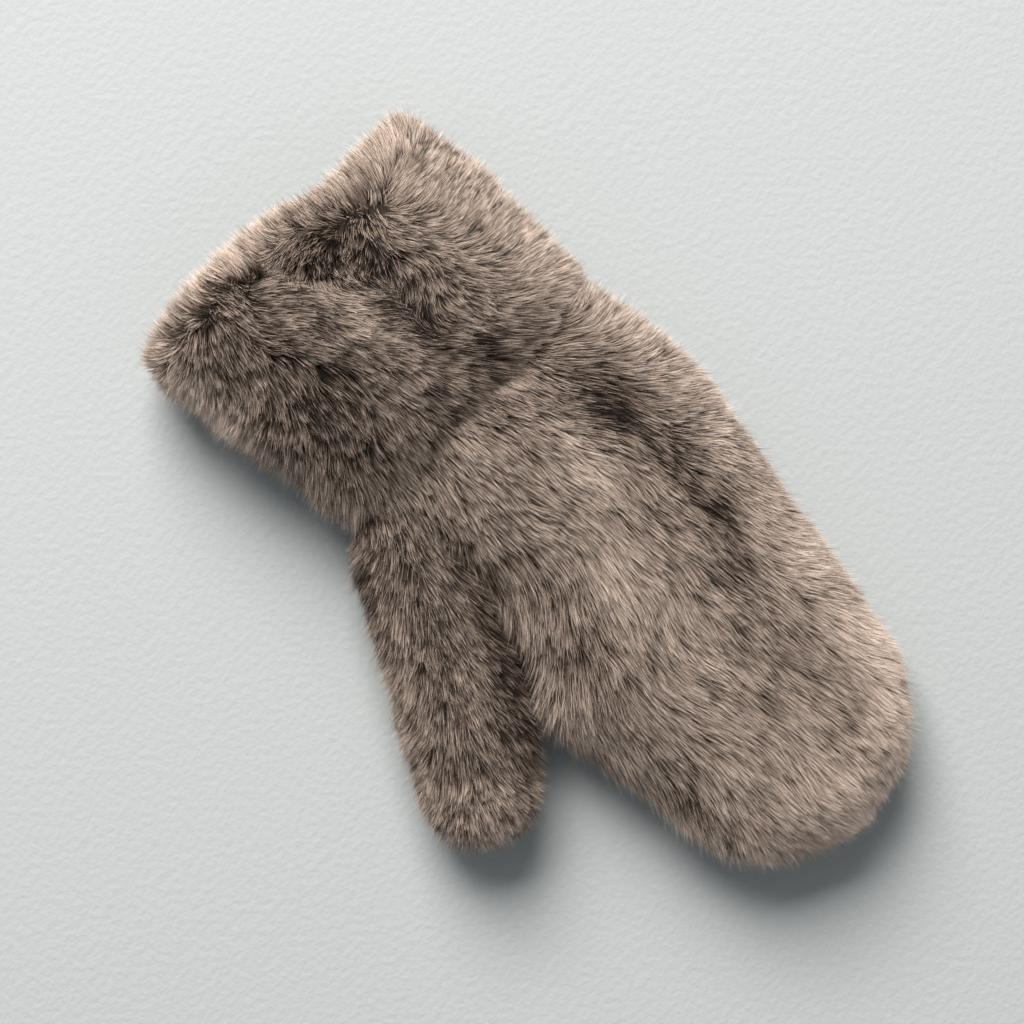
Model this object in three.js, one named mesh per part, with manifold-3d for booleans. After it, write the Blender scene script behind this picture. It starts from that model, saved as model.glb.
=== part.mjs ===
// A fur mitten for the left hand, lying on its palm: a turned-back fur cuff, a hand and a thumb.
// Each of the three is a hollow tube of fur fabric, sewn along both sides from a back and a palm half.
// Millimetres, +Z up. The fingertips point to +Y, the open cuff to -Y and the thumb to +X.
import * as THREE from "three";
import { mergeVertices } from "three/addons/utils/BufferGeometryUtils.js";
import Module from "manifold-3d";

const { clamp, smoothstep, lerp } = THREE.MathUtils;
const wasm = await Module();
wasm.setup();

// Hand: from the wrist seam to the fingertips, measured over the tips of the fur
const HAND_LENGTH = 188;
const HAND_WIDTH = 112;
const HAND_HEIGHT = 46;
const FINGERTIP_PLAN_RADIUS = 44;
const FINGERTIP_SIDE_RADIUS = 24;

// Thumb: a slanting tube that starts at the wrist seam, inside the hand, and leaves it at the side
const THUMB_LENGTH = 125;
const THUMB_WIDTH = 42;
const THUMB_HEIGHT = 37;
const THUMB_ANGLE = THREE.MathUtils.degToRad(27);
const THUMB_ROOT_ACROSS = 25.5;
const THUMB_ROOT_BLEND = 30;
const THUMB_TIP_PLAN_RADIUS = 21;
const THUMB_TIP_SIDE_RADIUS = 17;

// The way from the hand's hollow into the thumb's, slanting through the hand's side
const THROAT_WIDTH = 22;
const THROAT_HEIGHT = 15;
const THROAT_LENGTH = 52;
const THROAT_ANGLE = THREE.MathUtils.degToRad(52);
const THROAT_AT_THUMB_SHARE = 0.47;

// Cuff: turned back on itself, from the wrist seam to the rolled lip of the opening
const CUFF_LENGTH = 82;
const CUFF_WIDTH = 120;
const CUFF_HEIGHT = 54;
const CUFF_WALL = 14;
const LIP_LENGTH = 15;
const LIP_APEX_SHARE = 0.6;
const LIP_FLARE_LENGTH = 8;
const LIP_EDGE = 1.2;

// Fur fabric: a knitted backing under a dense pile, whose outer third breaks up into locks
const BACKING = 2;
const PILE = 9;
const PRESSED_PILE = 5;
const LOCK_RISE = 4;
const LOCK_LENGTH = 12.5;
const LOCK_WIDTH = 9;
const LOCK_LEAN = 0.8;
const CUFF_SIDE_LEAN = 0.8;
const CUFF_PARTING = -0.25;

// Locks lie pressed against the floor up to the first height and stand free from the second
const PRESSED_BELOW = -1;
const FREE_ABOVE = 7;

// How locks differ, as shares: of the rise for the lowest tip and the gaps, of the lean, and of a lock's
// width for the turn aside
const VARIETY = {
  lowestTip: 0.7,
  gap: 0.2,
  leastLean: 0.8,
  leanSpread: 0.35,
  turn: 0.7,
};

// Sewing: the side seam's height above the floor, and the gap kept between neighbouring pieces
const SEAM_HEIGHT = 17;
const SEAM_GAP = 0.3;

// Roundness of a section: 1 is an ellipse, and less is squarer
const BACK_ROUNDNESS = 0.9;
const PALM_ROUNDNESS = 0.62;
const PLAN_POWER = 2.2;
const SIDE_POWER = 2;

const WALL = PILE + BACKING;
const SINK = PILE - PRESSED_PILE;
const COLOUR = new THREE.Color(0x94806f);

// Sections along each tube. at: share of its length. left, right: shares of its width from the centre
// line. crown: share of its height.
const HAND_SECTIONS = [
  { at: 0.0, left: 0.549, right: 0.384, crown: 0.86 },
  { at: 0.12, left: 0.589, right: 0.348, crown: 0.97 },
  { at: 0.22, left: 0.603, right: 0.299, crown: 1.0 },
  { at: 0.3, left: 0.594, right: 0.3, crown: 1.0 },
  { at: 0.4, left: 0.571, right: 0.357, crown: 1.0 },
  { at: 0.5, left: 0.537, right: 0.427, crown: 0.99 },
  { at: 0.6, left: 0.509, right: 0.408, crown: 0.97 },
  { at: 0.7, left: 0.473, right: 0.378, crown: 0.94 },
  { at: 0.81, left: 0.446, right: 0.366, crown: 0.9 },
  { at: 1.0, left: 0.415, right: 0.345, crown: 0.84 },
];
const THUMB_SECTIONS = [
  { at: 0.0, left: 0.36, right: 0.44, crown: 0.86 },
  { at: 0.13, left: 0.38, right: 0.41, crown: 0.9 },
  { at: 0.25, left: 0.45, right: 0.485, crown: 0.96 },
  { at: 0.44, left: 0.52, right: 0.49, crown: 1.0 },
  { at: 0.64, left: 0.525, right: 0.515, crown: 1.0 },
  { at: 0.73, left: 0.5, right: 0.525, crown: 0.99 },
  { at: 0.82, left: 0.4, right: 0.54, crown: 0.97 },
  { at: 1.0, left: 0.36, right: 0.54, crown: 0.94 },
];
const CUFF_SECTIONS = [
  { at: 0.0, left: 0.508, right: 0.367, crown: 0.82 },
  { at: 0.1, left: 0.521, right: 0.4, crown: 0.93 },
  { at: 0.22, left: 0.533, right: 0.421, crown: 0.99 },
  { at: 0.4, left: 0.538, right: 0.446, crown: 1.0 },
  { at: 0.6, left: 0.529, right: 0.463, crown: 1.0 },
  { at: 0.78, left: 0.512, right: 0.483, crown: 0.98 },
  { at: 1.0, left: 0.5, right: 0.48, crown: 0.95 },
];

// The line of the cuff's lip. at: share of its width from the centre line. reach: how far the lip stands
// there, in shares of the cuff's length.
const LIP_LINE = [
  { at: -0.5, reach: 0.955 },
  { at: -0.2, reach: 0.938 },
  { at: -0.05, reach: 1.0 },
  { at: 0.2, reach: 1.03 },
  { at: 0.5, reach: 0.985 },
];

// Dents and ridges of the back. across: share of the tube's width, along: share of its length, where each
// is centred. long, wide: its reach as shares of length and width. depth: share of height, less than 0 on
// a ridge.
const HAND_FOLDS = [
  { across: -0.34, along: 0.33, long: 0.2, wide: 0.1, depth: 0.13 },
  { across: -0.36, along: 0.44, long: 0.05, wide: 0.08, depth: 0.09 },
  { across: -0.28, along: 0.54, long: 0.055, wide: 0.075, depth: 0.1 },
  { across: -0.31, along: 0.2, long: 0.05, wide: 0.08, depth: 0.1 },
  { across: -0.24, along: 0.71, long: 0.12, wide: 0.06, depth: 0.055 },
  { across: 0.29, along: 0.75, long: 0.13, wide: 0.035, depth: 0.065 },
  { across: 0.29, along: 0.57, long: 0.05, wide: 0.05, depth: 0.065 },
  { across: 0.2, along: 0.45, long: 0.03, wide: 0.09, depth: 0.055 },
  { across: -0.33, along: 0.03, long: 0.025, wide: 0.12, depth: 0.065 },
];
const THUMB_FOLDS = [
  { across: 0.02, along: 0.77, long: 0.036, wide: 0.4, depth: 0.06 },
  { across: -0.3, along: 0.5, long: 0.11, wide: 0.14, depth: 0.05 },
];
const CUFF_FOLDS = [
  { across: -0.14, along: 0.53, long: 0.38, wide: 0.085, depth: 0.16 },
  { across: 0.02, along: 0.48, long: 0.24, wide: 0.05, depth: -0.06 },
  { across: 0.14, along: 0.25, long: 0.17, wide: 0.045, depth: 0.07 },
  { across: -0.25, along: 0.75, long: 0.08, wide: 0.045, depth: 0.08 },
  { across: 0.13, along: 0.88, long: 0.06, wide: 0.33, depth: 0.07 },
  { across: -0.3, along: 0.02, long: 0.06, wide: 0.15, depth: 0.05 },
];

// A tube's own sizes, and how its frame lies in the mitten's: a point across, along and up from its root
const hand = {
  length: HAND_LENGTH,
  width: HAND_WIDTH,
  height: HAND_HEIGHT,
  wall: WALL,
  sections: HAND_SECTIONS,
  folds: HAND_FOLDS,
  tip: { plan: FINGERTIP_PLAN_RADIUS, side: FINGERTIP_SIDE_RADIUS },
  start: SEAM_GAP / 2,
  place: (across, along, up) => new THREE.Vector3(across, along, up),
};
const thumb = {
  length: THUMB_LENGTH,
  width: THUMB_WIDTH,
  height: THUMB_HEIGHT,
  wall: WALL,
  sections: THUMB_SECTIONS,
  folds: THUMB_FOLDS,
  tip: { plan: THUMB_TIP_PLAN_RADIUS, side: THUMB_TIP_SIDE_RADIUS },
  start: 0,
  closedStart: true,
  place: (across, along, up) => {
    const turned = smoothstep(along, 0, THUMB_ROOT_BLEND);
    const c = Math.cos(THUMB_ANGLE);
    const s = Math.sin(THUMB_ANGLE);
    const x = THUMB_ROOT_ACROSS + across * c + along * s;
    const y = SEAM_GAP / 2 + along * c - across * s * turned;
    return new THREE.Vector3(x, y, up);
  },
};
const cuff = {
  length: CUFF_LENGTH,
  width: CUFF_WIDTH,
  height: CUFF_HEIGHT,
  wall: CUFF_WALL,
  sections: CUFF_SECTIONS,
  folds: CUFF_FOLDS,
  start: SEAM_GAP / 2,
  sideLean: CUFF_SIDE_LEAN,
  place: (across, along, up) => {
    const reach = column(LIP_LINE, "reach", across / CUFF_WIDTH);
    return new THREE.Vector3(across, -along * reach, up);
  },
};

// A table's column at a share of the length, smooth through its rows
function column(table, name, at) {
  const last = table.length - 1;
  let k = 0;
  while (k < last - 1 && table[k + 1].at < at) k++;
  const value = (row) => table[clamp(row, 0, last)][name];
  const place = (row) => table[clamp(row, 0, last)].at;
  const slope = (row) =>
    (value(row + 1) - value(row - 1)) / (place(row + 1) - place(row - 1));
  const step = place(k + 1) - place(k);
  const t = clamp((at - place(k)) / step, 0, 1);
  const start = (1 + 2 * t) * (1 - t) ** 2 * value(k);
  const end = t * t * (3 - 2 * t) * value(k + 1);
  const bend = t * (1 - t) * ((1 - t) * slope(k) - t * slope(k + 1));
  return start + end + step * bend;
}

// How full a section still is, at a distance before a round tip of that radius
function fullness(distance, radius, power) {
  const short = clamp(1 - distance / radius, 0, 1);
  return (1 - short ** power) ** (1 / power);
}

function foldDepth(tube, across, along) {
  return tube.folds.reduce((sum, fold) => {
    const a = (along / tube.length - fold.along) / fold.long;
    const b = (across / tube.width - fold.across) / fold.wide;
    return sum + fold.depth * tube.height * Math.exp(-a * a - b * b);
  }, 0);
}

// A point of the tube at a depth under the tips of its fur. angle 0 is its right seam, a quarter turn the
// middle of its back.
function surfacePoint(tube, along, angle, depth) {
  const at = clamp(along / tube.length, 0, 1);
  const left = column(tube.sections, "left", at) * tube.width;
  const right = column(tube.sections, "right", at) * tube.width;
  const crown = column(tube.sections, "crown", at) * tube.height - depth;
  const sole = depth - SINK;
  const ahead = tube.length - depth - along;
  const plan = tube.tip
    ? fullness(ahead, tube.tip.plan - depth, PLAN_POWER)
    : 1;
  const side = tube.tip
    ? fullness(ahead, tube.tip.side - depth, SIDE_POWER)
    : 1;
  const c = Math.cos(angle);
  const s = Math.sin(angle);
  const roundness = s > 0 ? BACK_ROUNDNESS : PALM_ROUNDNESS;
  const half = (left + right) / 2 - depth;
  const reach = Math.sign(c) * Math.abs(c) ** roundness;
  const across = (right - left) / 2 + half * plan * reach;
  const rise = side * Math.abs(s) ** roundness;
  const fold =
    s > 0 ? s * foldDepth(tube, across, along) * (1 - depth / WALL / 2) : 0;
  const up =
    s > 0
      ? SEAM_HEIGHT + (crown - SEAM_HEIGHT) * rise - fold
      : SEAM_HEIGHT - (SEAM_HEIGHT - sole) * rise;
  return { across, along, up };
}

// The depth at which the outer face rolls in over the cuff's lip
function lipDepth(tube, along) {
  if (tube.tip) return 0;
  const t = clamp((along - tube.length + LIP_LENGTH) / LIP_LENGTH, 0, 1);
  return LIP_APEX_SHARE * tube.wall * (1 - Math.sqrt(1 - t * t));
}

// Places along a tube at even steps of the way over its back and its side
function evenRows(tube, depth, pitch, start, end) {
  const fine = 400;
  const ways = [Math.PI / 2, Math.PI];
  const at = (k) => lerp(start, end, 1 - (1 - k / fine) ** 2);
  const run = [0];
  for (let k = 1; k <= fine; k++) {
    const steps = ways.map((angle) => {
      const [a, b] = [at(k - 1), at(k)].map((s) =>
        surfacePoint(tube, s, angle, depth + lipDepth(tube, s)),
      );
      return Math.hypot(a.across - b.across, a.along - b.along, a.up - b.up);
    });
    run.push(run[k - 1] + (steps[0] + steps[1]) / 2);
  }
  const count = 2 * Math.round(run[fine] / pitch / 2) + 1;
  const rows = [];
  for (let i = 0, k = 0; i <= count; i++) {
    const goal = (run[fine] * i) / count;
    while (k < fine - 1 && run[k + 1] < goal) k++;
    const t = (goal - run[k]) / (run[k + 1] - run[k]);
    rows.push(lerp(at(k), at(k + 1), clamp(t, 0, 1)));
  }
  return rows;
}

// A repeatable number from 0 to 1 for each lock and use
function chance(i, j, use) {
  const x = Math.sin(12.9898 * i + 78.233 * j + 37.719 * use) * 43758.5453;
  return x - Math.floor(x);
}

const isTip = (i, j) => i % 2 === 1 && (j + (i >> 1)) % 2 === 0;

// Rings of points joined into one closed solid. Each square is split from its lock's tip.
function joinRings(rings) {
  const count = rings[0].length;
  const last = rings.length - 1;
  const points = rings.flat();
  const middle = (ring) =>
    ring
      .reduce((sum, p) => sum.add(p), new THREE.Vector3())
      .divideScalar(count);
  points.push(middle(rings[0]), middle(rings[last]));
  const triangles = [];
  for (let i = 0; i < last; i++)
    for (let j = 0; j < count; j++) {
      const next = (j + 1) % count;
      const a = i * count + j;
      const b = i * count + next;
      const c = (i + 1) * count + next;
      const d = (i + 1) * count + j;
      if (isTip(i, j) || isTip(i + 1, next))
        triangles.push([a, b, c], [a, c, d]);
      else triangles.push([a, b, d], [b, c, d]);
    }
  for (let j = 0; j < count; j++) {
    const next = (j + 1) % count;
    triangles.push([rings.length * count, next, j]);
    triangles.push([
      rings.length * count + 1,
      last * count + j,
      last * count + next,
    ]);
  }
  const volume = triangles.reduce(
    (sum, [a, b, c]) =>
      sum + points[a].dot(points[b].clone().cross(points[c])) / 6,
    0,
  );
  const order = volume < 0 ? [0, 2, 1] : [0, 1, 2];
  return new wasm.Manifold(
    new wasm.Mesh({
      numProp: 3,
      vertProperties: new Float32Array(points.flatMap((p) => p.toArray())),
      triVerts: new Uint32Array(
        triangles.flatMap((t) => order.map((k) => t[k])),
      ),
    }),
  );
}

// The columns of points round a tube, two for each lock
function columnCount(tube) {
  const round = Math.PI * (tube.width / 2 + tube.height / 2);
  return 2 * Math.round(round / LOCK_WIDTH);
}

const columnAngle = (j, count) => (2 * Math.PI * (j + 0.5)) / count;

const furRows = (tube) =>
  evenRows(tube, 0, LOCK_LENGTH / 2, tube.start, tube.length);

// The smooth form that holds all of a tube's fur, with spare room round it
function envelope(tube, spare) {
  const count = columnCount(tube);
  const rings = furRows(tube).map((along) =>
    Array.from({ length: count }, (_, j) => {
      const p = surfacePoint(tube, along, columnAngle(j, count), -spare);
      return tube.place(p.across, p.along, p.up);
    }),
  );
  return joinRings(rings);
}

// A tube's outer form: rows of locks that lean along it, pressed flat where they meet the floor
function furBody(tube) {
  const rows = furRows(tube);
  const count = columnCount(tube);
  const rings = rows.map((along, i) => {
    const free = i > 0 && i < rows.length - 1;
    const pitch = free ? rows[i + 1] - along : 0;
    return Array.from({ length: count }, (_, j) => {
      const tip = isTip(i, j) && free;
      const angle = columnAngle(j, count);
      const rolled = lipDepth(tube, along);
      const pressed = surfacePoint(tube, along, angle, rolled);
      const loose = smoothstep(pressed.up, PRESSED_BELOW, FREE_ABOVE);
      const height = tip
        ? lerp(VARIETY.lowestTip, 1, chance(i, j, 1))
        : VARIETY.gap * (i % 2);
      const depth = rolled + loose * LOCK_RISE * (1 - height);
      const spread = VARIETY.leastLean + VARIETY.leanSpread * chance(i, j, 2);
      const lean = tip ? LOCK_LEAN * spread : 0;
      const parted = Math.sign(pressed.across - CUFF_PARTING * tube.width);
      const aside = tip
        ? (chance(i, j, 3) - 0.5) * VARIETY.turn - (tube.sideLean ?? 0) * parted
        : 0;
      const turn = (loose * aside * 2 * Math.PI) / count;
      const up = angle < Math.PI ? turn : -turn;
      const p = surfacePoint(
        tube,
        along + loose * lean * pitch,
        angle + up,
        depth,
      );
      return tube.place(p.across, p.along, Math.max(p.up, 0));
    });
  });
  return joinRings(rings);
}

// The room inside a tube's wall. It runs out past each open end, and starts a wall's thickness inside a
// closed one.
const CAVITY_STEP = 13;
const CAVITY_COLUMNS = 26;
function cavity(tube) {
  const start = tube.closedStart ? tube.wall : -CAVITY_STEP;
  const end = tube.length + (tube.tip ? -tube.wall : CAVITY_STEP);
  const rings = evenRows(tube, tube.wall, CAVITY_STEP, start, end).map(
    (along) => {
      const ahead = tube.length - LIP_FLARE_LENGTH;
      const t = clamp((along - ahead) / LIP_FLARE_LENGTH, 0, 1);
      const flare = (1 - LIP_APEX_SHARE) * tube.wall;
      const rolled = tube.tip ? 0 : flare * (1 - Math.sqrt(1 - t * t));
      const depth = tube.wall - Math.max(0, rolled - LIP_EDGE);
      return Array.from({ length: CAVITY_COLUMNS }, (_, j) => {
        const angle = columnAngle(j, CAVITY_COLUMNS);
        const p = surfacePoint(tube, along, angle, depth);
        return tube.place(p.across, p.along, p.up);
      });
    },
  );
  return joinRings(rings);
}

function solidOf(geometry) {
  geometry.deleteAttribute("normal");
  geometry.deleteAttribute("uv");
  const merged = mergeVertices(geometry);
  return new wasm.Manifold(
    new wasm.Mesh({
      numProp: 3,
      vertProperties: new Float32Array(merged.getAttribute("position").array),
      triVerts: new Uint32Array(merged.index.array),
    }),
  );
}

// The way into the thumb: an oval bore from its hollow back into the hand's
function throat() {
  const sides = 20;
  const bore = new THREE.CylinderGeometry(
    THROAT_WIDTH / 2,
    THROAT_WIDTH / 2,
    THROAT_LENGTH,
    sides,
  );
  bore.translate(0, -THROAT_LENGTH / 2, 0);
  bore.scale(1, 1, THROAT_HEIGHT / THROAT_WIDTH);
  bore.rotateZ(-THROAT_ANGLE);
  const end = thumb.place(0, THROAT_AT_THUMB_SHARE * THUMB_LENGTH, SEAM_HEIGHT);
  bore.translate(...end);
  return solidOf(bore);
}

// A block that holds all that lies above or below a level
const BEYOND = 1000;
function slab(bottom, top) {
  const box = new THREE.BoxGeometry(BEYOND, BEYOND, top - bottom);
  box.translate(0, 0, (bottom + top) / 2);
  return solidOf(box);
}

const backSide = slab(SEAM_HEIGHT + SEAM_GAP / 2, BEYOND);
const palmSide = slab(-BEYOND, SEAM_HEIGHT - SEAM_GAP / 2);

function named(name, solid) {
  const mesh = solid.getMesh();
  const geometry = new THREE.BufferGeometry();
  geometry.setAttribute(
    "position",
    new THREE.BufferAttribute(new Float32Array(mesh.vertProperties), 3),
  );
  geometry.setIndex(new THREE.BufferAttribute(mesh.triVerts, 1));
  geometry.computeVertexNormals();
  const material = new THREE.MeshStandardMaterial({
    color: COLOUR,
    roughness: 0.95,
    metalness: 0,
  });
  const made = new THREE.Mesh(geometry, material);
  made.name = name;
  return made;
}

// The back and palm halves of a shell, parted at the side seams, without the crumbs the cuts leave
function halves(name, shell) {
  const largest = (solid) =>
    solid.decompose().reduce((a, b) => (b.volume() > a.volume() ? b : a));
  return [
    named(`${name}_back`, largest(shell.intersect(backSide))),
    named(`${name}_palm`, largest(shell.intersect(palmSide))),
  ];
}

const thumbRoom = cavity(thumb).add(throat());
const handShell = furBody(hand).subtract(cavity(hand)).subtract(thumbRoom);
const thumbShell = furBody(thumb)
  .subtract(thumbRoom)
  .subtract(envelope(hand, 2 * SEAM_GAP));
const cuffShell = furBody(cuff).subtract(cavity(cuff));

const mitten = new THREE.Group();
mitten.add(
  ...halves("cuff", cuffShell),
  ...halves("hand", handShell),
  ...halves("thumb", thumbShell),
);

// The origin is under the middle of the whole mitten, on the floor
const bounds = new THREE.Box3().setFromObject(mitten);
const centre = bounds.getCenter(new THREE.Vector3());
mitten.position.set(-centre.x, -centre.y, -bounds.min.z);

export default mitten;
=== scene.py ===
# A fur mitten for the left hand, lying on its palm on pale paper, seen from straight above.
# Sizes in the tables are millimetres; the scene is in metres, with the fingertips to +Y and the thumb to +X.
import math

import bpy
import numpy as np
from mathutils import Matrix
from mathutils.kdtree import KDTree


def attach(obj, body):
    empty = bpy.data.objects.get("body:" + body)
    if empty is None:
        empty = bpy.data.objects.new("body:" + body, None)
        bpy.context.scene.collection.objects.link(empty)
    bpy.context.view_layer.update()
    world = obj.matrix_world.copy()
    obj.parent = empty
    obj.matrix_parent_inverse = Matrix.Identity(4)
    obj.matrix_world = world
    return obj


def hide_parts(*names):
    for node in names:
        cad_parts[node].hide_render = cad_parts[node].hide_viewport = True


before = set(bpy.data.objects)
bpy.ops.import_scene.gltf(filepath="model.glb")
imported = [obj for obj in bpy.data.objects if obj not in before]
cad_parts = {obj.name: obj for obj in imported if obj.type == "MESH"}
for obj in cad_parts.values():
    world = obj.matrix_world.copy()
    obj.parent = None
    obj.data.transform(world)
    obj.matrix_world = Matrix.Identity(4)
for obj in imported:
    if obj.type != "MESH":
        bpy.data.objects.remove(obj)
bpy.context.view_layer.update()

MM = 0.001

# The wrist seam's middle in the part's frame
WRIST = np.array([-14.06, -51.72, 0.0])

# The solids' sizes, as in the part's source
HAND_LENGTH, HAND_WIDTH, HAND_HEIGHT = 188.0, 112.0, 46.0
THUMB_LENGTH, THUMB_WIDTH, THUMB_HEIGHT = 125.0, 42.0, 37.0
THUMB_ANGLE = math.radians(27)
THUMB_ROOT_ACROSS, THUMB_ROOT_BLEND = 25.5, 30.0
CUFF_LENGTH, CUFF_WIDTH, CUFF_HEIGHT = 82.0, 120.0, 54.0
CUFF_WALL, LIP_LENGTH, LIP_APEX = 14.0, 15.0, 0.6
BACKING, PILE, PRESSED_PILE = 2.0, 9.0, 5.0
SEAM_HEIGHT = 17.0
WALL = PILE + BACKING
SINK = PILE - PRESSED_PILE

# Powers of the rounded forms: round the back and the palm, and of a closed end in plan and from the side
BACK_ROUNDNESS, PALM_ROUNDNESS = 0.9, 0.62
PLAN_POWER, SIDE_POWER = 2.2, 2.0

# Hairs: how deep their roots lie, how tall and wide they are, and how far they go over the lip
ROOT_DEPTH = 8.6
HAIR_TALL = 8.6
HAIR_WIDTH = 0.26
LIP_WRAP = 14.0

# How deep a hair's place may lie inside another tube
MEETING_DEPTH = 5.0

# The backing: how far its undercoat covers the roots, and how far inside the lip it ends
UNDERCOAT, LIP_INSET = 0.6, 5

# A hair's points, as shares of the way to its tip
SHARES = np.array([0.0, 0.52, 1.0])

# Locks from large to small: fur for each in square millimetres, how far they stray and how uneven they are
LOCKS = [
    (70, 0.2, 0.12),
    (9, 0.14, 0.12),
    (1.3, 0.12, 0.1),
]
HAIR_STRAY, HAIR_UNEVEN = 0.14, 0.12

# The coat's shade from 0 to 1, and how far it varies from hair to hair and from lock to lock
SHADE = 0.68
HAIR_VARIES, SMALL_VARIES, MIDDLE_VARIES = 0.5, 0.2, 0.12

# How much a blade is lit as the coat's surface is, against its own face
SURFACE_LIGHT = 1.2

# A blade's width in its UVs
UV_WIDTH = 0.004

# Sections: share of length, left and right shares of width, crown's share of height
HAND_SECTIONS = [
    (0.0, 0.549, 0.384, 0.86),
    (0.12, 0.589, 0.348, 0.97),
    (0.22, 0.603, 0.299, 1.0),
    (0.3, 0.594, 0.3, 1.0),
    (0.4, 0.571, 0.357, 1.0),
    (0.5, 0.537, 0.427, 0.99),
    (0.6, 0.509, 0.408, 0.97),
    (0.7, 0.473, 0.378, 0.94),
    (0.81, 0.446, 0.366, 0.9),
    (1.0, 0.415, 0.345, 0.84),
]
THUMB_SECTIONS = [
    (0.0, 0.36, 0.44, 0.86),
    (0.13, 0.38, 0.41, 0.9),
    (0.25, 0.45, 0.485, 0.96),
    (0.44, 0.52, 0.49, 1.0),
    (0.64, 0.525, 0.515, 1.0),
    (0.73, 0.5, 0.525, 0.99),
    (0.82, 0.4, 0.54, 0.97),
    (1.0, 0.36, 0.54, 0.94),
]
CUFF_SECTIONS = [
    (0.0, 0.508, 0.367, 0.82),
    (0.1, 0.521, 0.4, 0.93),
    (0.22, 0.533, 0.421, 0.99),
    (0.4, 0.538, 0.446, 1.0),
    (0.6, 0.529, 0.463, 1.0),
    (0.78, 0.512, 0.483, 0.98),
    (1.0, 0.5, 0.48, 0.95),
]

# The lip's line: place across, and how far the lip stands there in shares of the cuff's length
LIP_LINE = [
    (-0.5, 0.955),
    (-0.2, 0.938),
    (-0.05, 1.0),
    (0.2, 1.03),
    (0.5, 0.985),
]

# Dents: place across and along, reach along and across, depth
HAND_FOLDS = [
    (-0.34, 0.33, 0.2, 0.1, 0.13),
    (-0.36, 0.44, 0.05, 0.08, 0.09),
    (-0.28, 0.54, 0.055, 0.075, 0.1),
    (-0.31, 0.2, 0.05, 0.08, 0.1),
    (-0.24, 0.71, 0.12, 0.06, 0.055),
    (0.29, 0.75, 0.13, 0.035, 0.065),
    (0.29, 0.57, 0.05, 0.05, 0.065),
    (0.2, 0.45, 0.03, 0.09, 0.055),
    (-0.33, 0.03, 0.025, 0.12, 0.065),
]
THUMB_FOLDS = [
    (0.02, 0.77, 0.036, 0.4, 0.06),
    (-0.3, 0.5, 0.11, 0.14, 0.05),
]
CUFF_FOLDS = [
    (-0.14, 0.53, 0.38, 0.085, 0.16),
    (0.02, 0.48, 0.24, 0.05, -0.06),
    (0.14, 0.25, 0.17, 0.045, 0.07),
    (-0.25, 0.75, 0.08, 0.045, 0.08),
    (0.13, 0.88, 0.06, 0.33, 0.07),
    (-0.3, 0.02, 0.06, 0.15, 0.05),
]

# The nap: place across and along, and degrees from onward (to the fingertips or the cuff's lip) to +across
HAND_NAP = [
    (-0.5, 0.04, -90),
    (-0.42, 0.03, -80),
    (-0.36, 0.05, -30),
    (-0.2, 0.05, 0),
    (0.2, 0.06, 5),
    (0.32, 0.05, 30),
    (-0.52, 0.15, -85),
    (-0.45, 0.15, -50),
    (-0.35, 0.16, -16),
    (0.0, 0.16, 0),
    (0.32, 0.16, 30),
    (-0.48, 0.27, -40),
    (-0.3, 0.27, -3),
    (0.0, 0.25, -20),
    (0.2, 0.3, 2),
    (0.34, 0.34, 14),
    (-0.47, 0.42, -20),
    (-0.3, 0.45, -14),
    (0.0, 0.45, -5),
    (0.34, 0.5, 16),
    (-0.47, 0.6, -27),
    (-0.25, 0.58, -12),
    (0.0, 0.65, -20),
    (0.25, 0.62, 5),
    (-0.43, 0.8, -30),
    (-0.25, 0.8, -10),
    (0.05, 0.85, -2),
    (0.3, 0.78, 5),
    (0.37, 0.84, 35),
    (-0.38, 0.95, -33),
    (-0.15, 0.95, -10),
    (0.15, 0.97, 2),
]
THUMB_NAP = [
    (-0.4, 0.1, -20),
    (0.0, 0.08, -20),
    (0.35, 0.1, 40),
    (-0.4, 0.4, -22),
    (-0.1, 0.4, 0),
    (0.15, 0.4, 14),
    (0.4, 0.4, 50),
    (-0.4, 0.68, -12),
    (0.0, 0.68, -5),
    (0.35, 0.66, 40),
    (-0.35, 0.88, -20),
    (0.0, 0.9, -12),
    (0.35, 0.88, 22),
    (0.2, 1.0, -15),
]
CUFF_NAP = [
    (-0.48, 0.93, -30),
    (-0.38, 0.93, -15),
    (-0.24, 0.9, 0),
    (-0.1, 0.94, 5),
    (0.02, 0.89, 3),
    (0.12, 0.92, 6),
    (0.08, 0.98, 10),
    (0.24, 1.0, 10),
    (0.38, 0.99, 40),
    (0.47, 0.93, 80),
    (-0.44, 0.72, -80),
    (-0.34, 0.66, -92),
    (-0.42, 0.4, -92),
    (-0.42, 0.12, -98),
    (-0.32, 0.12, -110),
    (-0.22, 0.62, -178),
    (-0.14, 0.68, 135),
    (-0.02, 0.78, 125),
    (-0.16, 0.4, 140),
    (-0.24, 0.25, -165),
    (-0.24, 0.08, -130),
    (-0.1, 0.15, -150),
    (0.0, 0.45, -145),
    (0.02, 0.2, -178),
    (0.1, 0.72, -135),
    (0.1, 0.55, -145),
    (0.12, 0.1, 160),
    (0.2, 0.85, -178),
    (0.2, 0.4, 180),
    (0.3, 0.75, 162),
    (0.3, 0.3, 155),
    (0.4, 0.75, 135),
    (0.4, 0.4, 125),
    (0.4, 0.1, 130),
    (0.47, 0.55, 105),
    (0.47, 0.2, 95),
]

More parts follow.
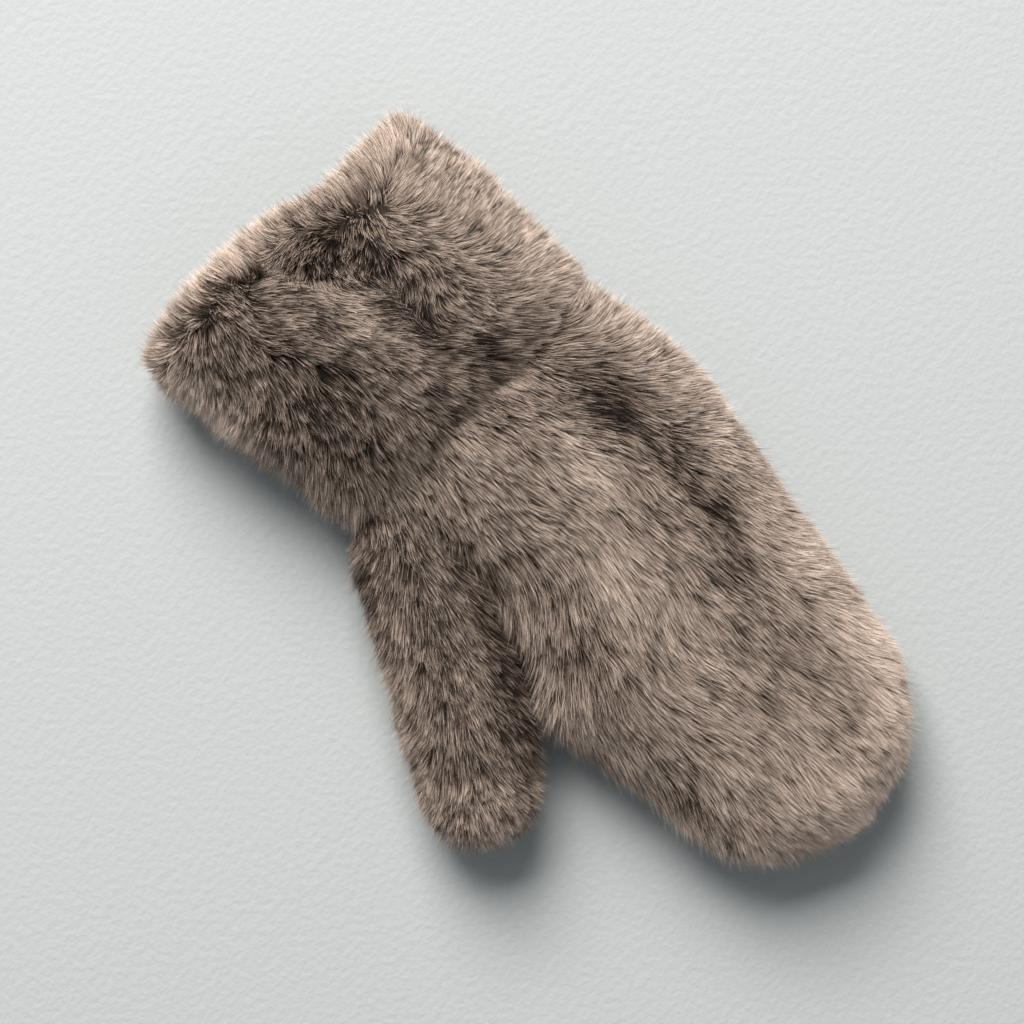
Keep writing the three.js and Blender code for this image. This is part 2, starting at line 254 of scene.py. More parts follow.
# Lighter and darker fur, partly the fur's own patches and partly painted light and shade (painted shade in
# creases, in the dents and on the thumb, painted light at the fingertips and on lobes turned to the light):
# place across and along, reach along and across, shade
HAND_TONE_AND_LIGHT = [
    (0.02, 0.05, 0.05, 0.07, 0.35),
    (-0.17, 0.04, 0.03, 0.04, 0.3),
    (-0.52, 0.2, 0.15, 0.07, 0.25),
    (-0.33, 0.19, 0.05, 0.05, -0.55),
    (-0.42, 0.12, 0.04, 0.06, -0.3),
    (-0.18, 0.24, 0.12, 0.05, 0.42),
    (0.08, 0.28, 0.05, 0.05, 0.3),
    (-0.34, 0.35, 0.14, 0.04, -0.25),
    (-0.35, 0.44, 0.03, 0.045, -0.35),
    (-0.27, 0.53, 0.04, 0.05, -0.4),
    (-0.39, 0.68, 0.2, 0.1, 0.5),
    (-0.04, 0.39, 0.15, 0.1, 0.3),
    (0.3, 0.22, 0.16, 0.1, -0.4),
    (0.37, 0.3, 0.11, 0.05, -0.75),
    (0.26, 0.48, 0.07, 0.1, -0.15),
    (0.08, 0.68, 0.14, 0.12, 0.25),
    (0.29, 0.79, 0.07, 0.035, -0.5),
    (0.39, 0.8, 0.25, 0.06, 0.3),
    (-0.1, 0.96, 0.13, 0.5, 0.5),
    (0.05, 0.99, 0.05, 0.6, 0.6),
    (0.0, 0.55, 0.5, 0.5, 0.07),
    (0.02, 0.37, 0.1, 0.06, 0.15),
]
# Painted shade: the thumb darker all over and in its crease beside the hand
THUMB_TONE_AND_LIGHT = [
    (0.0, 0.45, 0.45, 0.9, -0.33),
    (-0.48, 0.52, 0.3, 0.2, -0.45),
    (-0.35, 0.8, 0.2, 0.15, -0.35),
    (0.46, 0.25, 0.12, 0.1, -0.5),
    (0.32, 0.52, 0.1, 0.1, 0.3),
    (0.3, 0.99, 0.06, 0.4, 0.3),
]
CUFF_TONE_AND_LIGHT = [
    (0.15, 0.4, 0.6, 0.35, -0.12),
    (-0.46, 0.08, 0.25, 0.1, 0.25),
    (-0.37, 0.5, 0.2, 0.08, 0.12),
    (-0.45, 0.91, 0.07, 0.07, 0.35),
    (-0.12, 0.36, 0.24, 0.06, -0.35),
    (-0.34, 0.35, 0.1, 0.06, 0.2),
    (0.0, 0.48, 0.14, 0.07, 0.25),
    (-0.2, 0.06, 0.06, 0.06, -0.55),
    (-0.03, 0.05, 0.04, 0.03, -0.5),
    (-0.02, 0.69, 0.07, 0.05, -0.55),
    (-0.1, 0.45, 0.16, 0.04, -0.3),
    (0.22, 0.28, 0.32, 0.13, -0.4),
    (0.25, 0.83, 0.06, 0.2, -0.2),
    (-0.26, 0.77, 0.1, 0.08, 0.9),
    (0.14, 0.92, 0.07, 0.4, 0.5),
    (0.46, 0.62, 0.2, 0.07, 0.65),
    (0.13, 0.46, 0.06, 0.05, 0.3),
    (0.05, 0.62, 0.08, 0.05, 0.2),
]


def smoothstep(x, low, high):
    """A smooth rise from 0 at low to 1 at high."""
    t = np.clip((x - low) / (high - low), 0, 1)
    return t * t * (3 - 2 * t)


def column(table, k, at):
    """A table's column at shares of the length, smooth through its rows."""
    rows = np.array(table)
    place, value = rows[:, 0], rows[:, k]
    slope = np.gradient(value, place)
    slope[1:-1] = (value[2:] - value[:-2]) / (place[2:] - place[:-2])
    i = np.clip(np.searchsorted(place, at, side="left") - 1, 0, len(place) - 2)
    step = place[i + 1] - place[i]
    t = np.clip((at - place[i]) / step, 0, 1)
    start = (1 + 2 * t) * (1 - t) ** 2 * value[i]
    end = t * t * (3 - 2 * t) * value[i + 1]
    bend = t * (1 - t) * ((1 - t) * slope[i] - t * slope[i + 1])
    return start + end + step * bend


def fullness(distance, radius, power):
    """How full a rounded end is at a distance from its tip, from 0 to 1."""
    short = np.clip(1 - distance / radius, 0, 1)
    return (1 - short**power) ** (1 / power)


class Tube:
    """One hollow tube of fur fabric: its form, and how it lies in the mitten.

    reach is how far a hair's tip lies from its root, and tip how long the closed end's rounding is in plan
    and from the side. A tube without a tip is open.
    """

    def __init__(self, size, sections, folds, nap, tone_and_light_rows, reach, wall, tip=None):
        self.length, self.width, self.height = size
        self.sections, self.folds, self.nap, self.tone_and_light_rows = sections, folds, nap, tone_and_light_rows
        self.reach, self.wall, self.tip = reach, wall, tip

    def swell(self, table, across, along):
        """The sum of a table's rounded patches at places on the tube."""
        total = 0
        for x, y, long, wide, amount in table:
            a = (along / self.length - y) / long
            b = (across / self.width - x) / wide
            total = total + amount * np.exp(-a * a - b * b)
        return total

    def fold_depth(self, across, along):
        """How deep the dents are."""
        return self.height * self.swell(self.folds, across, along)

    def lip_depth(self, along):
        """How far the outer face has rolled in over the open end's lip."""
        if self.tip:
            return np.zeros_like(along)
        t = np.clip((along - self.length + LIP_LENGTH) / LIP_LENGTH, 0, 1)
        return LIP_APEX * self.wall * (1 - np.sqrt(1 - t * t))

    def section(self, along, depth):
        """The tube's middle, half its width and its crown's height, at a depth."""
        at = np.clip(along / self.length, 0, 1)
        left = column(self.sections, 1, at) * self.width
        right = column(self.sections, 2, at) * self.width
        crown = column(self.sections, 3, at) * self.height - depth
        return (right - left) / 2, (left + right) / 2 - depth, crown

    def closing(self, along, depth):
        """How full the tube is in plan and from the side, less towards a closed end."""
        if not self.tip:
            return np.ones_like(along), np.ones_like(along)
        ahead = self.length - depth - along
        plan = fullness(ahead, self.tip[0] - depth, PLAN_POWER)
        side = fullness(ahead, self.tip[1] - depth, SIDE_POWER)
        return plan, side

    def local(self, along, angle, depth):
        """Across, along and up of points, from the way along, the angle round the tube and the depth."""
        middle, half, crown = self.section(along, depth)
        sole = depth - SINK
        plan, side = self.closing(along, depth)
        c, s = np.cos(angle), np.sin(angle)
        roundness = np.where(s > 0, BACK_ROUNDNESS, PALM_ROUNDNESS)
        across = middle + half * plan * (np.sign(c) * np.abs(c) ** roundness)
        rise = side * np.abs(s) ** roundness
        fold = s * self.fold_depth(across, along) * (1 - depth / WALL / 2)
        up = np.where(
            s > 0,
            SEAM_HEIGHT + (crown - SEAM_HEIGHT) * rise - fold,
            SEAM_HEIGHT - (SEAM_HEIGHT - sole) * rise,
        )
        return across, along, up

    def point(self, along, angle, depth):
        """Points in the part's frame, in millimetres, at depths under the tips of the fur."""
        along, angle, depth = np.broadcast_arrays(
            np.asarray(along, float), np.asarray(angle, float), np.asarray(depth, float)
        )
        return self.place(*self.local(along, angle, depth)) + WRIST

    def place(self, across, along, up):
        """Points from the wrist seam's middle, of across, along and up."""
        return np.stack([across, along, up], -1)

    def unplace(self, p):
        """Across, along and up, of points in the part's frame."""
        q = p - WRIST
        return q[..., 0], q[..., 1], q[..., 2]

    def holds(self, p, depth):
        """Which points lie inside the tube's form at a depth."""
        across, along, up = self.unplace(p)
        middle, half, crown = self.section(along, depth)
        plan, side = (np.maximum(share, 0.01) for share in self.closing(along, depth))
        x = np.abs((across - middle) / (half * plan))
        back = up > SEAM_HEIGHT
        rise = np.where(back, crown - SEAM_HEIGHT, SEAM_HEIGHT - depth + SINK) * side
        z = np.abs(up - SEAM_HEIGHT) / rise
        power = 2 / np.where(back, BACK_ROUNDNESS, PALM_ROUNDNESS)
        within = (along > 0) & (along < self.length - (depth if self.tip else 0))
        return within & (x**power + z**power < 1)


class Thumb(Tube):
    """The thumb, which slants from the hand. Its root lies square to the hand."""

    def place(self, across, along, up):
        c, s = math.cos(THUMB_ANGLE), math.sin(THUMB_ANGLE)
        turned = smoothstep(along, 0, THUMB_ROOT_BLEND)
        x = across * c + along * s + THUMB_ROOT_ACROSS
        y = along * c - across * s * turned
        return np.stack([x, y, up], -1)

    def unplace(self, p):
        q = p - WRIST
        c, s = math.cos(THUMB_ANGLE), math.sin(THUMB_ANGLE)
        x, y = q[..., 0] - THUMB_ROOT_ACROSS, q[..., 1]
        return x * c - y * s, x * s + y * c, q[..., 2]


class Cuff(Tube):
    """The cuff, which goes back from the wrist to its uneven lip."""

    def place(self, across, along, up):
        return np.stack([across, -along * column(LIP_LINE, 1, across / CUFF_WIDTH), up], -1)

    def unplace(self, p):
        q = p - WRIST
        reach = column(LIP_LINE, 1, q[..., 0] / CUFF_WIDTH)
        return q[..., 0], -q[..., 1] / reach, q[..., 2]


HAND = Tube(
    size=(HAND_LENGTH, HAND_WIDTH, HAND_HEIGHT),
    sections=HAND_SECTIONS,
    folds=HAND_FOLDS,
    nap=HAND_NAP,
    tone_and_light_rows=HAND_TONE_AND_LIGHT,
    reach=9.5,
    wall=WALL,
    tip=(44, 24),
)
THUMB = Thumb(
    size=(THUMB_LENGTH, THUMB_WIDTH, THUMB_HEIGHT),
    sections=THUMB_SECTIONS,
    folds=THUMB_FOLDS,
    nap=THUMB_NAP,
    tone_and_light_rows=THUMB_TONE_AND_LIGHT,
    reach=8.5,
    wall=WALL,
    tip=(21, 17),
)
CUFF = Cuff(
    size=(CUFF_LENGTH, CUFF_WIDTH, CUFF_HEIGHT),
    sections=CUFF_SECTIONS,
    folds=CUFF_FOLDS,
    nap=CUFF_NAP,
    tone_and_light_rows=CUFF_TONE_AND_LIGHT,
    reach=7.0,
    wall=CUFF_WALL,
)


def noise(p, size, seed):
    """Smooth noise from -1 to 1 at points, with lumps of that size."""
    q = p / size
    cell = np.floor(q).astype(np.int64)
    f = q - cell
    f = f * f * (3 - 2 * f)
    total = 0
    # Each corner of a cell gets a number that is mixed from its place and the seed
    for corner in np.ndindex(2, 2, 2):
        weight = np.prod(np.where(np.array(corner) == 1, f, 1 - f), axis=-1)
        c = cell + corner
        h = c[..., 0] * 374761393 + c[..., 1] * 668265263 + c[..., 2] * 1440662683
        h = (h + seed * 1274126177) & 0x7FFFFFFF
        h = ((h ^ (h >> 13)) * 1103515245 + 12345) & 0x7FFFFFFF
        h = ((h ^ (h >> 16)) * 22695477 + 1) & 0x7FFFFFFF
        total = total + weight * (h / 0x7FFFFFFF)
    return 2 * total - 1


def unit(v):
    """Vectors made one long."""
    return v / np.maximum(np.linalg.norm(v, axis=-1, keepdims=True), 1e-9)


def frames(tube, along, angle):
    """The root of each hair and the outward, onward and sideways (to +across) directions there.

    Past the end of an open tube the hairs fan over its lip.
    """
    step, turn = 0.5, 0.0125
    end = tube.length - ROOT_DEPTH
    base = along if tube.tip else np.minimum(along, end)

    def at(s, a):
        return tube.point(s, a, ROOT_DEPTH + tube.lip_depth(s))

    root = at(base, angle)
    onward = unit(at(base + step, angle) - at(base - step, angle))
    around = unit(at(base, angle + turn) - at(base, angle - turn))
    outward = unit(np.cross(onward, around))
    middle = (at(base, 0 * angle) + at(base, 0 * angle + math.pi)) / 2
    outward = outward * np.sign(np.sum(outward * (root - middle), -1, keepdims=True))
    aside = np.where(np.sin(angle)[..., None] > 0, -around, around)
    over = (along - base)[..., None] / ROOT_DEPTH
    fanned = np.cos(over) * outward + np.sin(over) * onward
    onward = np.cos(over) * onward - np.sin(over) * outward
    return root, fanned, onward, aside


def spread(tube, low, high, count, rng, other):
    """Random places spread evenly over a tube's fur, as along and angle, and the fur's area.

    None of them lies inside the other tube.
    """
    rows, columns = 130, 130
    # Rows lie closer towards the end, where the tube rounds
    end = tube.length - ROOT_DEPTH + (0 if tube.tip else LIP_WRAP)
    s = end * (1 - (1 - np.linspace(0, 1, rows + 1)) ** 1.7)
    a = np.linspace(low, high, columns + 1)
    S, A = np.meshgrid(s, a, indexing="ij")
    root, outward, _, _ = frames(tube, S, A)
    P = root + 0.8 * ROOT_DEPTH * outward
    one = P[1:, 1:] - P[:-1, :-1]
    two = P[1:, :-1] - P[:-1, 1:]
    weight = np.linalg.norm(np.cross(one, two), axis=-1) / 2
    if other:
        weight = weight * ~other.holds((P[1:, 1:] + P[:-1, :-1]) / 2, MEETING_DEPTH)
    cell = rng.choice(weight.size, size=count, p=weight.ravel() / weight.sum())
    i, j = np.divmod(cell, columns)
    along = s[i] + (s[i + 1] - s[i]) * rng.random(count)
    angle = a[j] + (a[j + 1] - a[j]) * rng.random(count)
    return along, angle, weight.sum()


def heading(tube, root, back):
    """The way the nap lies, as an angle from onward, positive to +across, and how far it lies down.

    It stands up where it parts, turns onward at the lip, and turns half as far on the palm.
    """
    across, along, _ = tube.unplace(root)
    rows = np.array(tube.nap, float)
    far = (across[:, None] - rows[:, 0] * tube.width) ** 2
    far = far + (along[:, None] - rows[:, 1] * tube.length) ** 2
    weight = 1 / (far + 9) ** 2
    weight = weight / weight.sum(1, keepdims=True)
    turn = np.radians(rows[:, 2])
    ahead, aside = weight @ np.cos(turn), weight @ np.sin(turn)
    if tube.tip is None:
        lip = smoothstep(along, tube.length - 15, tube.length - 9)
        ahead, aside = ahead * (1 - lip) + lip, aside * (1 - lip)
    turned = np.arctan2(aside, ahead)
    wander = 0.2 * noise(root, 30, 3) + 0.22 * noise(root, 12, 4)
    flat = 0.25 + 0.75 * smoothstep(np.hypot(ahead, aside), 0.1, 0.8)
    return np.where(back, turned, 0.5 * turned) + wander, flat


def edge(tube, along, angle):
    """How near a hair is to the coat's outer edge, from 0 to 1."""
    side = smoothstep(np.abs(np.cos(angle)), 0.6, 0.98)
    end = tube.length - ROOT_DEPTH
    ahead = smoothstep(along, end - 12, end + 2)
    return np.maximum(side, 0.5 * ahead if tube.tip else ahead)


def past(tube, along):
    """How far over the open end's lip a hair stands, from 0 to 1."""
    return np.clip((along - tube.length + ROOT_DEPTH) / LIP_WRAP, 0, 1) * (tube.tip is None)


def curves(tube, along, angle, rng, stray, uneven):
    """Hairs as rows of points from root to tip, and the outward directions at their roots."""
    root, outward, onward, aside = frames(tube, along, angle)
    n = len(along)
    turn, flat = heading(tube, root, np.sin(angle) > 0)
    turn = (turn + stray * rng.normal(size=n))[:, None]
    nap = np.cos(turn) * onward + np.sin(turn) * aside
    over = past(tube, along)
    rim = smoothstep(np.abs(np.cos(angle)), 0.5, 0.95) * np.abs(np.sin(turn[:, 0]))
    reach = tube.reach * flat * (1 - 0.8 * over) * (1 - 0.75 * rim)
    lean = unit(outward + 0.12 * rng.normal(size=(n, 3)))
    height = HAIR_TALL * (1 + 0.2 * noise(root, 12, 5) + uneven * rng.normal(size=n))
    reach = reach * (1 + 0.2 * noise(root, 20, 7) + uneven * rng.normal(size=n))
    if tube.tip:
        reach = reach * (1 - 0.5 * smoothstep(along, tube.length - 34, tube.length - 12))
    else:
        hem = 1 - smoothstep(along, 2, 16)
        height = height * (1 + 0.35 * hem)
        reach = reach * (1 + 0.6 * hem * noise(root, 15, 9))
        height = height * (1 - 0.4 * smoothstep(over, 0, 0.5) * (0.4 + 1.2 * rng.random(n)))
    rise = height[:, None] * (1 - (1 - SHARES) ** 1.5)
    run = reach[:, None] * SHARES**1.5
    points = root[:, None] + rise[:, :, None] * lean[:, None] + run[:, :, None] * nap[:, None]
    return points, outward


def nearest(points, centres):
    """The number of the centre that is nearest to each point."""
    tree = KDTree(len(centres))
    for k, p in enumerate(centres):
        tree.insert(p, k)
    tree.balance()
    return np.array([tree.find(p)[1] for p in points])


def gather(hairs, locks, least, spare, rng):
    """Draws hairs in to the lock whose root is nearest, most at their tips, and gives the locks' numbers."""
    pull = least + spare * rng.random(len(locks))
    lock = nearest(hairs[:, 0], locks[:, 0])
    drawn = (pull[lock][:, None] * SHARES**1.3)[:, :, None]
    return hairs * (1 - drawn) + locks[lock] * drawn, lock


def fur(name, tube, low, high, full, fine, seed, other):
    """One piece of fur as a mesh of tapering blades, from the backing (full) and from half way up (fine)."""
    rng = np.random.default_rng(seed)
    area = spread(tube, low, high, 1, rng, other)[2]

    def grow(n, stray, uneven):
        along, angle, _ = spread(tube, low, high, n, rng, other)
        points, outward = curves(tube, along, angle, rng, stray, uneven)
        return points, outward, along, angle

    big, middle, small = (grow(int(area / each), *rest)[0] for each, *rest in LOCKS)
    n = full + fine
    hairs, outward, along, angle = grow(n, HAIR_STRAY, HAIR_UNEVEN)
    roots = hairs[:, 0].copy()
    rim = edge(tube, along, angle)
    over = past(tube, along)
    middle, _ = gather(middle, big, 0.15, 0.4, rng)
    small, middle_lock = gather(small, middle, 0.25, 0.5, rng)
    hairs, lock = gather(hairs, small, 0.3, 0.4, rng)
    middle_lock = middle_lock[lock]

    # Stray hairs stand out of the coat, and no hair goes through the paper
    stray = rng.random(n) < 0.05 + 0.2 * rim
    beyond = (0.5 + 2.2 * rng.random((n, 1)) ** 1.5) * stray[:, None]
    beyond = beyond * (1 + 0.4 * rim[:, None])
    hairs[:, -1] += beyond * unit(outward + 0.5 * (hairs[:, -1] - roots) / HAIR_TALL)
    floor = 0.25 + 0.9 * rng.random((n, 1))
    hairs[:, :, 2] = np.maximum(hairs[:, :, 2], floor)

    # Locks are lit as facets that tilt this way and that
    tilt = 0.22 * rng.normal(size=(len(small), 3))[lock]
    tilt = tilt + 0.16 * rng.normal(size=(len(middle), 3))[middle_lock]
    surface = unit(outward + tilt)

    # Tone, with painted light and shade, is read near the tips, which are what shows
    across, along, _ = tube.unplace(0.3 * roots + 0.7 * hairs[:, -1])
    # Painted shade darkens the hairs in the dents
    fold = tube.fold_depth(across, along) * (roots[:, 2] > SEAM_HEIGHT)
    # Painted light lightens the hairs at the coat's edge
    tone_and_light = tube.swell(tube.tone_and_light_rows, across, along) - 0.02 * fold + 0.06 * rim
    # Painted shade darkens the hairs over the lip; the noise is the fur's own lumps of lighter and darker
    tone_and_light = tone_and_light + 0.1 * noise(roots, 24, 11) + 0.14 * noise(roots, 9, 12) - 0.4 * over
    # Painted light: hairs near the coat's edge and stray hairs show less of their dark roots, as do the
    # lighter tones
    lift = np.clip(0.35 * rim + 0.6 * tone_and_light + 0.3 * stray, -0.35, 0.7)

    # Painted shade between locks: a hair far from its lock's middle is darker
    apart = np.linalg.norm(roots - middle[middle_lock, 0], axis=1)
    shade = SHADE + HAIR_VARIES * rng.normal(size=n) + SMALL_VARIES * rng.normal(size=len(small))[lock]
    shade = shade + MIDDLE_VARIES * rng.normal(size=len(middle))[middle_lock] - 0.07 * apart
    # Painted light: stray hairs are lighter, as a halo round the coat
    shade = np.clip(shade + tone_and_light + 0.2 * stray, 0.02, 0.98)

    width = HAIR_WIDTH * (0.7 + 0.6 * rng.random(n))
    width[full:] *= 0.75
    width[stray] *= 0.55
    blades = [
        blade(hairs[k, first:], surface[k], width[k], shade[k], lift[k], SHARES[first:], rng)
        for k, first in ((slice(full), 0), (slice(full, n), 1))
    ]
    return mesh_object(name, blades, FUR)


def blade(hairs, surface, width, shade, lift, shares, rng):
    """Blades' vertices, normals, faces' corners, faces' sizes and UVs.

    u is the blade's shade and v the way to its tip, both a little inside 0 to 1. Lift leaves out the dark
    share at its root.
    """
    count, rings = hairs.shape[:2]
    direction = unit(hairs[:, -1] - hairs[:, 0])
    flat = unit(np.cross(direction, surface))
    roll = np.clip(0.7 * rng.normal(size=(count, 1)), -1.4, 1.4)
    flat = unit(flat * np.cos(roll) + np.cross(direction, flat) * np.sin(roll))
    facing = unit(np.cross(flat, direction) + SURFACE_LIGHT * surface)
    taper = 1 - 0.3 * shares[:-1]
    half = (width[:, None] * taper / 2)[:, :, None] * flat[:, None, :]
    sides = np.stack([hairs[:, :-1] - half, hairs[:, :-1] + half], 2)
    verts = np.concatenate([sides.reshape(count, -1, 3), hairs[:, -1:]], 1)
    per = verts.shape[1]
    quads = [[2 * k, 2 * k + 1, 2 * k + 3, 2 * k + 2] for k in range(rings - 2)]
    corners = quads + [[per - 3, per - 2, per - 1]]
    where = {2 * k + side: (side * UV_WIDTH, shares[k]) for k in range(rings - 1) for side in (0, 1)}
    where[per - 1] = (UV_WIDTH / 2, shares[-1])
    loops = np.concatenate([np.array(c) for c in corners])
    uv = np.array([where[k] for k in loops])
    uvs = np.tile(uv, (count, 1)).reshape(count, -1, 2)
    uvs[:, :, 0] += (UV_WIDTH + 0.985 * shade)[:, None]
    way = lift[:, None] + (1 - lift[:, None]) * uvs[:, :, 1]
    uvs[:, :, 1] = 0.01 + 0.98 * np.clip(way, 0, 1)
    all_loops = (loops[None, :] + per * np.arange(count)[:, None]).ravel()
    sizes = np.tile([len(c) for c in corners], count)
    normals = np.repeat(facing, per, axis=0)
    return verts.reshape(-1, 3), normals, all_loops, sizes, uvs.reshape(-1, 2)


def mesh_object(name, parts, material):
    """One object of several lots of blades."""
    verts, normals, loops, sizes, uvs = zip(*parts)
    offsets = np.cumsum([0] + [len(v) for v in verts])
    loops = np.concatenate([lot + offset for lot, offset in zip(loops, offsets)])
    verts = np.concatenate(verts) * MM
    normals = np.concatenate(normals)
    sizes = np.concatenate(sizes)
    uvs = np.concatenate(uvs)
    mesh = bpy.data.meshes.new(name)
    mesh.vertices.add(len(verts))
    mesh.vertices.foreach_set("co", verts.astype(np.float32).ravel())
    mesh.loops.add(len(loops))
    mesh.loops.foreach_set("vertex_index", loops.astype(np.int32))
    mesh.polygons.add(len(sizes))
    starts = np.concatenate([[0], np.cumsum(sizes)[:-1]])
    mesh.polygons.foreach_set("loop_start", starts.astype(np.int32))
    mesh.update(calc_edges=True)
    layer = mesh.uv_layers.new(name="OFBake")
    layer.data.foreach_set("uv", uvs.astype(np.float32).ravel())
    mesh.polygons.foreach_set("use_smooth", np.ones(len(sizes), bool))
    mesh.normals_split_custom_set_from_vertices(normals.astype(np.float32))
    mesh.materials.append(material)
    obj = bpy.data.objects.new(name, mesh)
    bpy.context.scene.collection.objects.link(obj)
    return obj


def ramp(nodes, stops):
    """A colour ramp through the stops."""
    node = nodes.new("ShaderNodeValToRGB")
    elements = node.color_ramp.elements
    while len(elements) < len(stops):
        elements.new(0.5)
    for element, (place, colour) in zip(elements, stops):
        element.position = place
        element.color = (*colour, 1)
    return node


def bumpy(nodes, links, shader, scale, strength, distance):
    """A fine grain on a surface."""
    place = nodes.new("ShaderNodeTexCoord")
    grain = nodes.new("ShaderNodeTexNoise")
    grain.inputs["Scale"].default_value = scale
    grain.inputs["Detail"].default_value = 4
    bump = nodes.new("ShaderNodeBump")
    bump.inputs["Strength"].default_value = strength
    bump.inputs["Distance"].default_value = distance
    links.new(place.outputs["Object"], grain.inputs["Vector"])
    links.new(grain.outputs["Fac"], bump.inputs["Height"])
    links.new(bump.outputs["Normal"], shader.inputs["Normal"])


def fur_material():
    """Fur that pales from root to tip and varies from hair to hair, both read from the blades' UVs. The near
    black of the roots is partly painted shade deep in the pile, and the shade in u carries the painted light
    and shade of the tone tables.
    """
    material = bpy.data.materials.new("fur")
    material.use_nodes = True
    nodes, links = material.node_tree.nodes, material.node_tree.links
    shader = nodes["Principled BSDF"]
    shader.inputs["Roughness"].default_value = 0.5
    shader.inputs["Specular IOR Level"].default_value = 0.12
    uv = nodes.new("ShaderNodeUVMap")
    uv.uv_map = "OFBake"
    split = nodes.new("ShaderNodeSeparateXYZ")
    links.new(uv.outputs["UV"], split.inputs[0])
    # Root to tip: the roots' near black is partly painted shade deep in the pile
    length = ramp(
        nodes,
        [
            (0.0, (0.03, 0.02, 0.015)),
            (0.5, (0.085, 0.06, 0.047)),
            (0.76, (0.4, 0.304, 0.244)),
            (1.0, (1.0, 0.82, 0.7)),
        ],
    )
    shade = ramp(
        nodes,
        [
            (0.0, (0.03, 0.023, 0.019)),
            (0.42, (0.2, 0.18, 0.165)),
            (0.62, (0.82, 0.8, 0.78)),
            (1.0, (1.0, 1.0, 1.0)),
        ],
    )
    mix = nodes.new("ShaderNodeMix")
    mix.data_type = "RGBA"
    mix.blend_type = "MULTIPLY"
    mix.inputs["Factor"].default_value = 1
    links.new(split.outputs["Y"], length.inputs["Fac"])
    links.new(split.outputs["X"], shade.inputs["Fac"])
    links.new(length.outputs["Color"], mix.inputs["A"])
    links.new(shade.outputs["Color"], mix.inputs["B"])
    links.new(mix.outputs["Result"], shader.inputs["Base Color"])
    return material


def shaded_backing_material():
    """Matt backing cloth and undercoat, painted dark as the shade deep in the pile and inside the mitten."""
    material = bpy.data.materials.new("backing")
    material.use_nodes = True
    nodes, links = material.node_tree.nodes, material.node_tree.links
    shader = nodes["Principled BSDF"]
    shader.inputs["Roughness"].default_value = 0.9
    shader.inputs["Base Color"].default_value = (0.06, 0.045, 0.035, 1)
    bumpy(nodes, links, shader, 900, 0.4, 0.0004)
    return material


def backing(name, tube, low, high, other):
    """The dense undercoat outside and the backing inside, as one shell that is open at both side seams."""
    rows, columns = 44, 40
    end = tube.length - ROOT_DEPTH
    inner_end = tube.length - (tube.wall if tube.tip else LIP_INSET)
    way = 1 - (1 - np.linspace(0, 1, rows)) ** 2
    s = np.concatenate([end * way, (inner_end * way)[::-1]])
    outer = ROOT_DEPTH - UNDERCOAT + tube.lip_depth(end * way)
    d = np.concatenate([outer, np.full(rows, tube.wall)])
    a = np.linspace(low, high, columns + 1)
    S, A = np.meshgrid(s, a, indexing="ij")
    P = tube.point(S, A, np.broadcast_to(d[:, None], S.shape))
    P[..., 2] = np.maximum(P[..., 2], 0.3)
    index = np.arange(P[..., 0].size).reshape(len(s), columns + 1)
    onto = np.roll(index, -1, axis=0)
    faces = np.stack([index[:, :-1], index[:, 1:], onto[:, 1:], onto[:, :-1]], -1)
    faces = faces.reshape(-1, 4)
    flat = P.reshape(-1, 3)
    if other:
        faces = faces[~other.holds(flat[faces].mean(1), WALL)]
    used, packed = np.unique(faces, return_inverse=True)
    mesh = bpy.data.meshes.new(name)
    mesh.from_pydata((flat[used] * MM).tolist(), [], packed.reshape(-1, 4).tolist())
    mesh.polygons.foreach_set("use_smooth", np.ones(len(mesh.polygons), bool))
    obj = bpy.data.objects.new(name, mesh)
    bpy.context.scene.collection.objects.link(obj)
    mesh.materials.append(SHADED_BACKING_CLOTH)
    return obj


def paper():
    """A sheet of pale paper that the mitten lies on."""
    bpy.ops.mesh.primitive_plane_add(size=4, location=(0, 0, 0))
    floor = bpy.context.object
    floor.name = "paper"
    material = bpy.data.materials.new("paper")
    material.use_nodes = True
    nodes, links = material.node_tree.nodes, material.node_tree.links
    shader = nodes["Principled BSDF"]
    shader.inputs["Base Color"].default_value = (0.42, 0.437, 0.437, 1)
    shader.inputs["Roughness"].default_value = 0.9
    bumpy(nodes, links, shader, 420, 0.5, 0.0006)
    floor.data.materials.append(material)


FUR = fur_material()
SHADED_BACKING_CLOTH = shaded_backing_material()

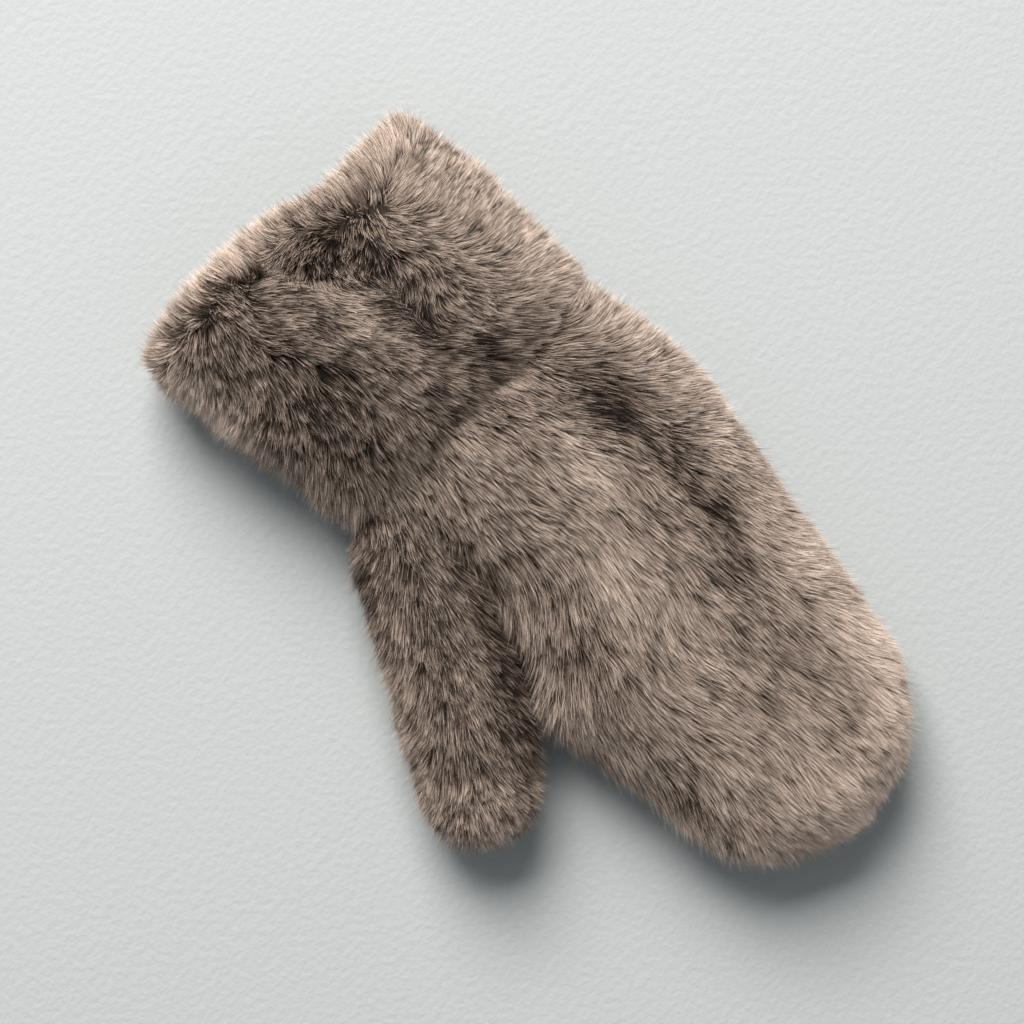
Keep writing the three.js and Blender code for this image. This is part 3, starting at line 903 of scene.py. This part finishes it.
# Node, tube, side (0 the back, 1 the palm), full and fine hairs, seed, and the tube that it meets
PIECES = [
    ("hand_back", HAND, 0, 40000, 76000, 1, THUMB),
    ("hand_palm", HAND, 1, 26000, 40000, 2, THUMB),
    ("thumb_back", THUMB, 0, 24000, 44000, 3, HAND),
    ("thumb_palm", THUMB, 1, 15000, 20000, 4, HAND),
    ("cuff_back", CUFF, 0, 40000, 76000, 5, None),
    ("cuff_palm", CUFF, 1, 28000, 46000, 6, None),
]


for node, tube, side, full, fine, seed, other in PIECES:
    low, high = side * math.pi, (side + 1) * math.pi
    shell = backing(node + "_backing", tube, low, high, other)
    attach(shell, "root")
    coat = fur(node + "_fur", tube, low, high, full, fine, seed, other)
    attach(coat, "root")
    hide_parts(node)


paper()

# A large soft window beyond the cuff, aimed at the mitten
light = bpy.data.lights.new("window", "AREA")
light.shape = "SQUARE"
light.size, light.energy, light.color = 1.45, 118, (1.0, 0.98, 0.95)
window = bpy.data.objects.new("window", light)
bpy.context.scene.collection.objects.link(window)
window.location = (-0.83, -1.53, 1.66)
window.rotation_euler = (-window.location).to_track_quat("-Z", "Y").to_euler()

# Pale light from the room all round
world = bpy.data.worlds.new("room")
bpy.context.scene.world = world
world.use_nodes = True
world.node_tree.nodes["Background"].inputs["Color"].default_value = (0.9, 0.96, 1, 1)
world.node_tree.nodes["Background"].inputs["Strength"].default_value = 0.3

# The camera looks straight down, turned so that the fingertips point to the picture's lower right.
# VIEW_WIDTH is how wide it sees at the mitten's middle height.
VIEW_WIDTH, CAMERA_HEIGHT, MIDDLE_HEIGHT = 0.3277, 0.85, 0.016
VIEW_CENTRE = (-0.007, -0.0134)
camera_data = bpy.data.cameras.new("camera")
camera = bpy.data.objects.new("camera", camera_data)
bpy.context.scene.collection.objects.link(camera)
camera_data.sensor_width = 36
camera_data.lens = 36 * (CAMERA_HEIGHT - MIDDLE_HEIGHT) / VIEW_WIDTH
half = math.sqrt(0.5)
turn = Matrix(((-half, -half, 0), (half, -half, 0), (0, 0, 1))).to_4x4()
camera.matrix_world = Matrix.Translation((*VIEW_CENTRE, CAMERA_HEIGHT)) @ turn
bpy.context.scene.camera = camera

bpy.context.scene.view_settings.view_transform = "Standard"

bpy.context.view_layer.update()
